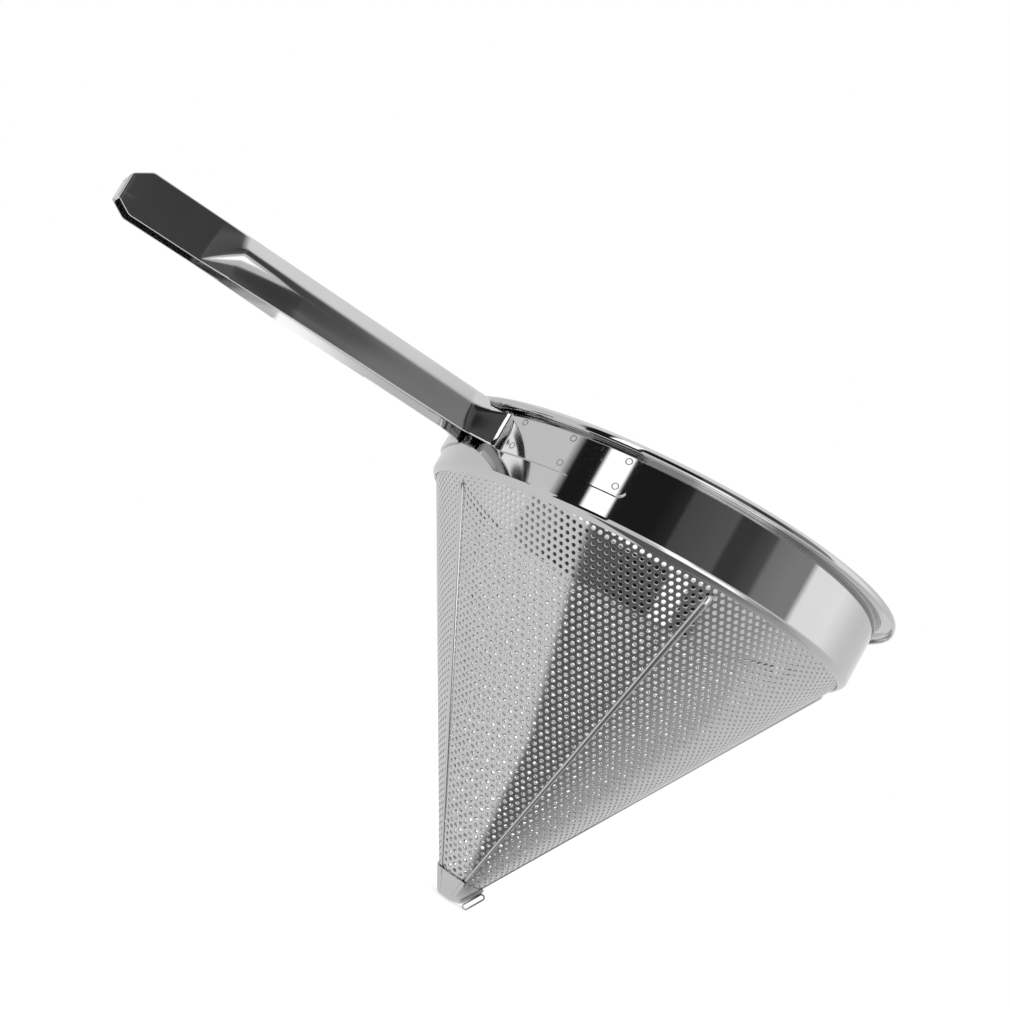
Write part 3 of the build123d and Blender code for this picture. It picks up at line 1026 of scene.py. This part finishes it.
@dataclass
class Handle:
    """Pressed channel with an end plate and two wings on the band, in millimetres.

    Distances run outwards from the strainer's axis, and depths down from the handle's top.
    """

    sheet: float = 1.5
    reach: float = 327.0
    top: float = 2.6
    rise: float = -1.75
    height: float = 21.2
    plate_half: float = 8.0
    plate_length: float = 43.0
    top_chamfer: Point = (8.0, 5.5)
    low_chamfer: Point = (7.9, 4.6)
    flare: float = 15.0
    web_half: float = 8.3
    ridge_half: float = 11.2
    grip_half: float = 12.7
    neck_depth: float = 7.4
    ridge_depth: float = 8.6
    swell: float = 32.0
    dish_depth: float = 1.05
    dish_length: float = 240.0
    root_half: float = 19.8
    root_length: float = 17.0
    foot_length: float = 15.0
    seat: float = 120.1
    wing_angle: float = 44.6
    wing_top: float = 4.2
    wing_height: float = 20.7
    wing_corner: float = 4.0
    end_bend: float = 1.6
    fold_bend: float = 1.8
    lip_radius: float = 128.0
    lip_drop: float = 4.0
    low_rows: int = 8
    bend_rows: int = 6
    face_rows: int = 4

    def _station(self, distance: float, inset: float) -> list[tuple[float, float]]:
        """Half of the outside's cross-section at a distance, from the low edge to the middle.

        Args:
            distance: distance from the axis.
            inset: how far the section is drawn in, at the rounded end.

        Returns:
            Half widths and heights.
        """
        plate_end = self.reach - self.plate_length
        past_plate = ramp(-distance, -plate_end, 0.5)
        to_neck = min(past_plate / self.flare, 1.0)
        to_grip = min(past_plate / (self.flare + self.swell), 1.0)
        fold = math.sqrt((self.seat + self.sheet) ** 2 - self.root_half ** 2)
        root, foot = self.seat + self.root_length, self.seat + self.foot_length
        to_root = min(ramp(-distance, -root, 0.8) / (root - fold), 1.0)
        to_foot = min(ramp(-distance, -foot, 0.8) / (foot - fold), 1.0)
        web = self.plate_half + (self.web_half - self.plate_half) * to_neck
        ridge = self.plate_half + (self.ridge_half - self.plate_half) * to_neck
        ridge += (self.root_half - self.ridge_half) * to_root
        base = self.plate_half + (self.grip_half - self.plate_half) * to_grip
        base += (self.root_half - self.grip_half) * to_foot
        along = min(max((plate_end - distance) / (plate_end - root), 0.0), 1.0)
        depth = self.neck_depth + (self.ridge_depth - self.neck_depth) * along
        depth += (self.height - 1.2 - depth) * (1 - to_neck)
        fading = 1 - (past_plate - self.flare) / self.dish_length
        dish = self.dish_depth * to_neck * min(max(fading, 0.0), 1.0)
        depth += (self.wing_top - self.top - depth) * to_root
        drop, lift = (
            ramp(distance, self.reach - length, 0.7) * height / length
            for length, height in (self.top_chamfer, self.low_chamfer)
        )
        drop += (self.lip_drop + 0.35 - self.top) * ease((self.lip_radius + 1.7 - distance) / 1.2)
        depth = min(depth, self.height - lift - 1.2)
        low, bend = -self.height + lift, -max(depth, drop + inset + 1.2 * (1 - to_root))
        corners = [
            (base - inset, low),
            (ridge + (base - ridge) * 0.4 - inset - dish, bend + (low - bend) * 0.4),
            (ridge - inset, bend),
            (web - inset, -drop - inset),
            (0.0, -drop - inset),
        ]
        path = softened(corners, (4.5, 2.4, 0.9), self.bend_rows)
        rows = []
        curve = [1] * self.bend_rows
        face = [self.face_rows]
        counts = [self.low_rows, *curve, *face, *curve, *face, *curve, *face]
        for a, b, count in zip(path, path[1:], counts):
            rows += [tuple(Vector(a).lerp(Vector(b), i / count)) for i in range(count)]
        return rows + [path[-1]]

    @property
    def side_rows(self) -> int:
        """Number of steps from the low edge to the middle of the ridge's curve."""
        return self.low_rows + self.bend_rows + self.face_rows + self.bend_rows // 2

    def _lifted(self, distance: float, y: float, z: float) -> tuple[float, float, float]:
        """Point of the handle in the strainer's frame, raised with its distance from the band."""
        slope = math.tan(math.radians(self.rise))
        return (-distance, y, z - self.top + max(distance - self.seat, 0.0) * slope)

    def _distances(self) -> list[tuple[float, float]]:
        """Distances of the sections with how far each is drawn in."""
        start = math.sqrt((self.seat + self.sheet) ** 2 - self.root_half ** 2) + self.fold_bend
        end = self.reach - self.end_bend
        close, count = self.lip_radius + 4.0, 196
        stations = [(start + (close - start) * i / 40, 0.0) for i in range(40)]
        stations += [(close + (end - close) * i / count, 0.0) for i in range(count + 1)]
        for i in range(1, 7):
            angle = math.pi / 2 * i / 6
            inset = self.end_bend * (1 - math.cos(angle))
            stations.append((end + self.end_bend * math.sin(angle), inset))
        return stations

    def _wing_columns(self) -> list[tuple[float, float, float]]:
        """Plan points along a wing, as (distance, half width, length left to its end)."""
        radius = self.seat + self.sheet
        fold = math.asin(self.root_half / radius)
        corner = (radius * math.cos(fold), self.root_half)
        past = fold + self.fold_bend / radius
        bend = softened(
            [(corner[0] + self.fold_bend, self.root_half), corner,
             (radius * math.cos(past), radius * math.sin(past))],
            (self.fold_bend * 2,), 8,
        )
        end = math.radians(self.wing_angle)
        columns = [(x, y, (end - fold) * radius) for x, y in bend[1:-1]]
        count = 60
        for i in range(count + 1):
            share = i / count
            angle = past + (end - past) * (1 - (1 - share) ** 1.6)
            columns.append(polar(radius, angle, (end - angle) * radius))
        return columns

    def _shell(self) -> bpy.types.Object:
        """Outside of the channel, its end and its wings, as one open shell."""
        vertices, faces = [], []
        stations = self._distances()
        half_count = len(self._station(stations[0][0], 0.0))
        columns = 2 * half_count - 1
        for distance, inset in stations:
            half = self._station(distance, inset)
            section = [(y, z) for y, z in half] + [(-y, z) for y, z in half[-2::-1]]
            vertices += [self._lifted(distance, y, z) for y, z in section]
        faces += grid_faces(len(stations), columns)
        last = (len(stations) - 1) * columns
        for i in range(half_count - 1):
            near, far = last + i, last + columns - 1 - i
            middle = (far - 1,) if near + 1 < far - 1 else ()
            faces.append((near, near + 1, *middle, far))
        self._close_web(vertices, faces, columns)
        self._add_wings(vertices, faces, columns)
        shell = new_object("handle_shell", vertices, faces)
        work = bmesh.new()
        work.from_mesh(shell.data)
        bmesh.ops.remove_doubles(work, verts=work.verts, dist=0.002 * MM)
        bmesh.ops.recalc_face_normals(work, faces=work.faces)
        work.faces.ensure_lookup_table()
        middles = [(face.calc_center_median(), face) for face in work.faces]
        crown = max(middles, key=lambda pair: pair[0].z - 5 * abs(pair[0].y))[1]
        if crown.normal.z < 0:
            bmesh.ops.reverse_faces(work, faces=work.faces)
        work.to_mesh(shell.data)
        work.free()
        return shell

    def _close_web(self, vertices: list, faces: list, columns: int) -> None:
        """Run the web from the first section in to the band."""
        first = self.side_rows
        web = range(first, columns - first)
        start = len(vertices)
        for j in web:
            x, y, z = vertices[j]
            reach = math.sqrt(self.seat ** 2 - min(abs(y), self.root_half) ** 2)
            vertices.append((-reach, y, z))
        for k, j in enumerate(list(web)[:-1]):
            faces.append((start + k, start + k + 1, j + 1, j))

    def _add_wings(self, vertices: list, faces: list, columns: int) -> None:
        """Run the lower sides round the band as wings."""
        rows = self.side_rows + 1
        plan = self._wing_columns()
        for side in (1, -1):
            edge = [j if side > 0 else columns - 1 - j for j in range(rows)]
            heights = [vertices[j][2] for j in edge]
            previous = edge
            for n, (distance, half, left) in enumerate(plan):
                share = ease(n / 12)
                cut = corner_cut(self.wing_corner, left)
                low, high = -self.wing_top - self.wing_height + cut, -self.wing_top - cut
                current = []
                rise = heights[-1] - heights[0]
                for j in range(rows):
                    wing_z = low + (high - low) * (heights[j] - heights[0]) / rise
                    z = heights[j] * (1 - share) + wing_z * share
                    current.append(len(vertices))
                    vertices.append((-distance, side * half, z))
                for j in range(rows - 1):
                    face = (previous[j], previous[j + 1], current[j + 1], current[j])
                    faces.append(face)
                previous = current

    def build(self) -> None:
        """Give the shell its thickness and its finished edges."""
        shell = self._shell()
        shell.data.shade_smooth()
        solid = shell.modifiers.new("sheet", "SOLIDIFY")
        solid.thickness = self.sheet * MM
        solid.offset = -1.0
        edges = shell.modifiers.new("edges", "BEVEL")
        edges.width = 0.22 * MM
        edges.segments = 2
        edges.limit_method = "ANGLE"
        edges.angle_limit = math.radians(60)
        edges.harden_normals = False
        weights = shell.modifiers.new("weights", "WEIGHTED_NORMAL")
        weights.keep_sharp = True
        baked(shell)
        smoothed(shell, 40)
        dress(shell, SATIN_HANDLE, ["handle"])


@dataclass
class PotHook:
    """Strip on the band opposite the handle, with an arm and a leg that hangs down."""

    seat: float = 120.1
    sheet: float = 2.0
    width: float = 22.0
    top: float = 6.5
    plate_height: float = 20.0
    reach: float = 158.0
    drop: float = 19.0
    lean: float = 6.0
    bend: float = 4.0

    def build(self) -> None:
        """Bend the strip and give it its thickness."""
        half = self.sheet / 2
        slope = math.tan(math.radians(self.lean))
        path = filleted(
            [
                (self.seat + half, -self.top - self.plate_height),
                (self.seat + half, -self.top - half),
                (self.reach - half - (self.drop - half) * slope, -self.top - half),
                (self.reach - half, -self.top - self.drop),
            ],
            (self.bend, self.bend), 10,
        )
        fine = []
        for a, b in zip(path, path[1:]):
            count = max(1, int((Vector(b) - Vector(a)).length / 1.5))
            fine += [tuple(Vector(a).lerp(Vector(b), i / count)) for i in range(count)]
        fine.append(path[-1])
        left, right = shifted(fine, half), shifted(fine, -half)
        columns, vertices, faces = 25, [], []
        for skin in (left, right):
            for i, (x, z) in enumerate(skin):
                cut = 0.0
                if i < len(skin) / 2:
                    cut = corner_cut(3.0, z + self.top + self.plate_height)
                elif i > len(skin) / 2:
                    cut = corner_cut(2.0, (Vector(fine[-1]) - Vector(fine[i])).length)
                for j in range(columns):
                    y = (self.width / 2 - cut) * (2 * j / (columns - 1) - 1)
                    sag = self.seat - math.sqrt(self.seat ** 2 - y ** 2)
                    hugging = ease((self.seat + 8 - x) / 6)
                    vertices.append((x - sag * hugging, y, z))
        rows = len(fine)
        faces += grid_faces(rows, columns) + grid_faces(rows, columns, rows * columns, True)
        other = rows * columns
        for i in range(rows - 1):
            for j in (0, columns - 1):
                a, b = i * columns + j, (i + 1) * columns + j
                faces.append((a, b, other + b, other + a))
        for j in range(columns - 1):
            for i in (0, rows - 1):
                a = i * columns + j
                faces.append((a, a + 1, other + a + 1, other + a))
        hook = new_object("pot_hook", vertices, faces)
        tidied(hook)
        edges = hook.modifiers.new("edges", "BEVEL")
        edges.width = 0.3 * MM
        edges.segments = 2
        edges.limit_method = "ANGLE"
        edges.angle_limit = math.radians(50)
        baked(hook)
        smoothed(hook, 40)
        dress(hook, SATIN_HOOK, ["rest_hook"])


@dataclass
class WeldMarks:
    """Round marks that the welding tips left, set out on a round face."""

    name: str
    node: str
    face_radius: float
    places: Sequence[Point]
    radius: float = 1.75
    ridge: float = 0.07
    segments: int = 24

    def _mark(self) -> bpy.types.Object:
        """One mark that faces +Z: a low round ridge."""
        profile = [
            (0.62, -0.5), (0.66, 0.0), (0.74, 0.7), (0.82, 1.0),
            (0.9, 0.7), (0.98, 0.0), (1.0, -0.5),
        ]
        vertices, faces = [], []
        for share, lift in profile:
            for i in range(self.segments):
                angle = 2 * math.pi * i / self.segments
                vertices.append(polar(share * self.radius, angle, lift * self.ridge))
        for k in range(len(profile)):
            for i in range(self.segments):
                a, b = k * self.segments + i, k * self.segments + (i + 1) % self.segments
                c, d = ((v + self.segments) % len(vertices) for v in (a, b))
                faces.append((a, c, d, b))
        mark = source_object(f"{self.name}_mark", vertices, faces)
        tidied(mark)
        return mark

    def build(self) -> None:
        """Set the marks out."""
        spots = [polar(self.face_radius, math.radians(bearing), z) for bearing, z in self.places]
        carrier = source_object(f"{self.name}_spots", spots, [])
        made = Pattern(f"{self.name}_pattern")
        graph = made.graph
        spots_in = made.input("Spots", "NodeSocketObject", carrier)
        mark = made.input("Mark", "NodeSocketObject", self._mark())
        paint = made.input("Material", "NodeSocketMaterial", WELD_STEEL.material())
        points = graph.node("GeometryNodeObjectInfo", None, {"Object": spots_in}, "Geometry")
        shape = graph.node("GeometryNodeObjectInfo", None, {"Object": mark}, "Geometry")
        x, y, _ = graph.separate(graph.node("GeometryNodeInputPosition"))
        bearing = y.math("ARCTAN2", x)
        marks = graph.node("GeometryNodeInstanceOnPoints", None, {
            "Points": points, "Instance": shape,
            "Rotation": graph.combine(0.0, math.pi / 2, bearing),
        })
        made.result(marks, paint)
        piece = made.run(self.name)
        smoothed(piece, 60)
        dress(piece, WELD_STEEL, [self.node])


# The studio


@dataclass
class Studio:
    """Pale floor, soft light, and the dark and light cards that the steel mirrors.

    Attributes:
        floor_height: height of the floor, in metres.
        room_radius: distance of the cards, in metres.
        wall_levels: brightness of the cards by bearing in degrees, near the horizon.
        floor_levels: brightness of the floor card by bearing in degrees.
        middle_levels: brightness of the floor past the near card by bearing in degrees.
        middle_start: distance from the axis at which that floor begins, in metres.
        far_levels: brightness of the far floor and the foot of the dome by bearing in degrees.
        far_start: distance from the axis at which the far floor begins, in metres.
        card_foot: height at which the dome's cards begin, in metres.
        stand_levels: share by bearing of a black stand that reaches in over the far floor.
        stand_start: distance from the axis at which the stand begins, in metres.
        edge_lines: straight edges of the near dark card, as pairs of points in millimetres.
        stand_level: brightness of the stand.
        sky_level: brightness of the dome above its cards.
        near_level: brightness of the near floor beside the dark card.
        floor_glow: how much the floor shines by itself where it is seen.
    """

    floor_height: float
    room_radius: float = 2.2
    wall_levels: Sequence[Point] = (
        (-180.0, 0.77), (-178.5, 0.77), (-173.5, 0.014), (-162.0, 0.014), (-160.0, 1.7),
        (-149.0, 1.7), (-147.5, 0.015), (-128.0, 0.015), (-119.5, 0.03), (-118.0, 0.085),
        (-107.0, 0.105), (-96.5, 0.125),
        (-94.5, 0.055), (-87.0, 0.055), (-80.0, 0.085), (-76.5, 0.10), (-74.0, 0.23), (-62.0, 0.28),
        (-53.5, 0.28), (-50.0, 1.05), (-28.0, 1.08), (-19.0, 0.94), (-11.0, 0.81), (-2.0, 0.73),
        (14.0, 0.72), (30.0, 0.85), (120.0, 0.75), (180.0, 0.77),
    )
    floor_levels: Sequence[Point] = (
        (-180.0, 1.0), (-150.0, 0.10), (-130.0, 0.13), (-96.0, 0.15), (-75.0, 0.28), (-54.0, 0.42),
        (-34.0, 0.5), (-13.0, 0.68), (20.0, 0.8), (60.0, 0.85), (180.0, 1.0),
    )
    middle_levels: Sequence[Point] = (
        (-180.0, 0.8), (-150.0, 0.8), (-122.0, 0.7), (-116.0, 1.6), (-86.0, 1.6), (-76.0, 0.5),
        (-60.0, 0.35), (-50.0, 0.5), (-34.0, 0.65), (-13.0, 0.7), (20.0, 0.75), (60.0, 0.78),
        (180.0, 0.8),
    )
    middle_start: float = 0.32
    far_levels: Sequence[Point] = (
        (-180.0, 0.8), (-130.0, 0.8), (-118.0, 1.4), (-107.0, 1.4), (-102.0, 0.72), (-60.0, 0.7),
        (20.0, 0.75), (180.0, 0.8),
    )
    far_start: float = 1.0
    card_foot: float = 0.14
    stand_levels: Sequence[Point] = (
        (-180.0, 0.0), (-173.5, 0.0), (-173.0, 1.0), (-146.5, 1.0), (-146.0, 0.0),
    )
    stand_start: float = 0.5
    edge_lines: Sequence[tuple[Point, Point]] = (
        ((-77.0, -83.0), (-255.0, -125.0)), ((-10.0, -26.0), (-77.0, -83.0)),
    )
    stand_level: float = 0.015
    sky_level: float = 0.95
    near_level: float = 0.8
    floor_glow: float = 0.42

    def _emitter(self, name: str, level: Callable[[Graph, Field], Field]) -> bpy.types.Material:
        """Material that glows by a level worked out from the place on it."""
        made, graph = blank_material(name)
        place = graph.node("ShaderNodeTexCoord", None, None, "Object")
        glow = graph.node("ShaderNodeEmission", None, {"Strength": level(graph, place)})
        graph.node("ShaderNodeOutputMaterial", None, {"Surface": glow})
        return made

    def _by_bearing(self, graph: Graph, place: Field, levels: Sequence[Point]) -> Field:
        """Brightness read from (bearing, level) pairs."""
        x, y, _ = graph.separate(place)
        bearing = y.math("ARCTAN2", x) * (180 / math.pi)
        total = graph.number(levels[0][1])
        for (b0, l0), (b1, l1) in zip(levels, levels[1:]):
            if l0 != l1:
                total = total + bearing.step(b0, 1 / (b1 - b0)) * (l1 - l0)
        return total

    def _wall_level(self, graph: Graph, place: Field) -> Field:
        """Cards near the horizon, and white above them."""
        _, _, z = graph.separate(place)
        above = z.step(self.room_radius * 0.55, 1 / (self.room_radius * 0.15))
        below = ((self.card_foot - z) * 40.0).between(0.0, 1.0)
        stand = self._by_bearing(graph, place, self.stand_levels)
        level = self._by_bearing(graph, place, self.wall_levels)
        far = self._by_bearing(graph, place, self.far_levels)
        foot = far * (1.0 - stand) + stand * self.stand_level
        return level * (1.0 - above - below) + above * self.sky_level + foot * below

    def _floor_level(self, graph: Graph, place: Field) -> Field:
        """Dark card before the strainer with straight edges, and pale floors past it."""
        x, y, _ = graph.separate(place)
        beyond = graph.number(0.0)
        for start, end in self.edge_lines:
            (x0, y0), (x1, y1) = ((a * MM, b * MM) for a, b in (start, end))
            run = Vector((x1 - x0, y1 - y0)).normalized()
            across = (x - x0) * -run.y + (y - y0) * run.x
            beyond = beyond.math("MAXIMUM", (across * 90.0 + 0.5).between(0.0, 1.0))
        dark = self._by_bearing(graph, place, self.floor_levels)
        near = dark * beyond + (1.0 - beyond) * self.near_level
        reach = (x * x + y * y).math("SQRT")
        middle = reach.step(self.middle_start, 60.0)
        far = reach.step(self.far_start, 20.0)
        stand = self._by_bearing(graph, place, self.stand_levels)
        stand = reach.step(self.stand_start, 60.0) * stand
        outer = self._by_bearing(graph, place, self.middle_levels) * (1.0 - far)
        outer = outer + self._by_bearing(graph, place, self.far_levels) * far
        outer = outer * (1.0 - stand) + stand * self.stand_level
        return near * (1.0 - middle) + outer * middle

    def _glossy_only(self, card: bpy.types.Object) -> None:
        """Let only mirrored rays see a card."""
        card.visible_camera = False
        card.visible_diffuse = False
        card.visible_transmission = False
        card.visible_shadow = False
        card.visible_volume_scatter = False
        card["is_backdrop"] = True

    def _disc(self, name: str, radius: float, height: float) -> bpy.types.Object:
        """Flat round plate."""
        count = 128
        turn = 2 * math.pi / count
        vertices = [polar(radius / MM, turn * i, height / MM) for i in range(count)]
        return new_object(name, vertices, [tuple(range(count))])

    def _wall(self) -> bpy.types.Object:
        """Dome that carries the cards, open to the floor."""
        rows, columns, vertices = 24, 96, []
        for i in range(rows + 1):
            rise = math.pi / 2 * i / rows
            ring = self.room_radius * math.cos(rise)
            z = self.room_radius * math.sin(rise) + self.floor_height
            for j in range(columns):
                vertices.append(polar(ring / MM, 2 * math.pi * j / columns, z / MM))
        return new_object("studio_dome", vertices, ring_faces(rows + 1, columns))

    def _floor_material(self) -> bpy.types.Material:
        """Pale floor that reads as white and keeps the object's shadow."""
        made, graph = blank_material("pale_floor")
        diffuse = graph.node("ShaderNodeBsdfDiffuse", None, {"Color": (0.9, 0.9, 0.9, 1.0)})
        strength = graph.seen_rays() * self.floor_glow
        glow = graph.node("ShaderNodeEmission", None, {"Strength": strength})
        both = graph.node("ShaderNodeAddShader", None, {0: diffuse, 1: glow})
        graph.node("ShaderNodeOutputMaterial", None, {"Surface": both})
        return made

    def _world(self) -> None:
        """White room: full white where it is seen, plain light elsewhere."""
        world = bpy.data.worlds.new("white_room")
        world.use_nodes = True
        world.node_tree.nodes.clear()
        graph = Graph(world.node_tree)
        white = graph.node("ShaderNodeBackground", None, {
            "Color": (1, 1, 1, 1), "Strength": 0.72 + graph.seen_rays() * 0.28,
        })
        graph.node("ShaderNodeOutputWorld", None, {"Surface": white})
        bpy.context.scene.world = world

    def _lamp(self, name: str, place: tuple, size: float, power: float) -> None:
        """Soft square lamp that looks at the strainer."""
        light = bpy.data.lights.new(name, "AREA")
        light.size = size
        light.energy = power
        lamp = bpy.data.objects.new(name, light)
        lamp.location = place
        aim = Vector((0, 0, -0.08)) - Vector(place)
        lamp.rotation_euler = aim.to_track_quat("-Z", "Y").to_euler()
        lamp.visible_camera = False
        lamp.visible_glossy = False
        bpy.context.scene.collection.objects.link(lamp)

    def build(self) -> None:
        """Set up the floor, cards, world and lamps."""
        floor = self._disc("floor", 12.0, self.floor_height)
        floor.data.materials.append(self._floor_material())
        floor.visible_glossy = False
        floor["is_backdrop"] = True
        card = self._disc("floor_card", self.room_radius, self.floor_height)
        card.data.materials.append(self._emitter("floor_card", self._floor_level))
        self._glossy_only(card)
        dome = self._wall()
        dome.data.materials.append(self._emitter("dome_cards", self._wall_level))
        self._glossy_only(dome)
        self._world()
        self._lamp("key", (-1.0, -1.2, 1.6), 1.4, 14.0)
        self._lamp("fill", (1.5, -0.6, 1.0), 1.6, 8.0)


@dataclass
class PhotoCamera:
    """Camera at the photograph's place: bearing, height angle, roll, lens and picture centre.

    The centre is where the lens looks straight ahead, in pixels from the picture's top left.
    """

    bearing: float = -23.212
    height_angle: float = -4.09
    roll: float = 30.175
    offset: tuple[float, float, float] = (168.972, 0.581, 600.0)
    focal: float = 1104.05
    centre: tuple[float, float] = (347.67, 520.1)
    sensor: float = 36.0
    frame: tuple[int, int] = (1010, 1024)

    def build(self) -> None:
        """Place the camera and make it the scene's own."""
        a, e, r = (math.radians(v) for v in (self.bearing, self.height_angle, self.roll))
        ahead = Vector((-math.sin(a) * math.cos(e), math.cos(a) * math.cos(e), -math.sin(e)))
        right = Vector((math.cos(a), math.sin(a), 0))
        up = right.cross(ahead)
        rolled_right = right * math.cos(r) + up * math.sin(r)
        rolled_up = up * math.cos(r) - right * math.sin(r)
        x, y, z = (v * MM for v in self.offset)
        place = -(rolled_right * x + rolled_up * y + ahead * z)
        lens = bpy.data.cameras.new("photo_camera")
        lens.sensor_fit = "VERTICAL"
        lens.sensor_height = self.sensor
        width, height = self.frame
        lens.lens = self.focal / height * self.sensor
        lens.shift_x = (width / 2 - self.centre[0]) / height
        lens.shift_y = (self.centre[1] - height / 2) / height
        lens.clip_start = 0.02
        camera = bpy.data.objects.new("photo_camera", lens)
        camera.matrix_world = Matrix((
            (rolled_right.x, rolled_up.x, -ahead.x, place.x),
            (rolled_right.y, rolled_up.y, -ahead.y, place.y),
            (rolled_right.z, rolled_up.z, -ahead.z, place.z),
            (0, 0, 0, 1),
        ))
        bpy.context.scene.collection.objects.link(camera)
        bpy.context.scene.camera = camera


@dataclass
class Strainer:
    """The whole strainer."""

    rib_count: int = 5
    rib_turn: float = -1.0
    wing_welds: Sequence[float] = (14.6, 28.5, 42.0)
    weld_inset: float = 4.0
    hook_weld_gap: float = 12.0
    hook_weld_inset: float = 5.0
    cone: Cone = field(default_factory=Cone)

    def build(self) -> None:
        """Build every piece in turn."""
        bearings = [180 + self.rib_turn + 360 / self.rib_count * i for i in range(self.rib_count)]
        handle, hook = Handle(), PotHook()
        Rim(self.cone).build()
        PerforatedSheet(self.cone, bearings).build()
        Ribs(self.cone, bearings).build()
        TipCap(self.cone, bearings).build()
        handle.build()
        hook.build()
        rows = [
            -handle.wing_top - self.weld_inset,
            -handle.wing_top - handle.wing_height + self.weld_inset,
        ]
        spots = [(180 + side * a, z) for side in (-1, 1) for a in self.wing_welds for z in rows]
        face = handle.seat + handle.sheet
        WeldMarks("handle_weld_marks", "handle_spot_welds", face, spots).build()
        turn = math.degrees(self.hook_weld_gap / 2 / hook.seat)
        low = -hook.top - hook.plate_height + self.hook_weld_inset
        spots = [(-turn, low), (turn, low)]
        WeldMarks("hook_weld_marks", "hook_spot_welds", hook.seat + hook.sheet, spots).build()


def as_lists(bounds: Any) -> list[list[float]]:
    """Box as plain lists of numbers."""
    return [[float(value) for value in corner] for corner in bounds]


def main() -> None:
    """Build the strainer and its studio."""
    solid_box = as_lists(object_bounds())
    scene = bpy.context.scene
    scene.view_settings.view_transform = "Standard"
    Strainer().build()
    Studio(floor_height=solid_box[0][2] - 0.0005).build()
    PhotoCamera().build()
    log.info("boxes written")


if __name__ == "__main__":
    main()
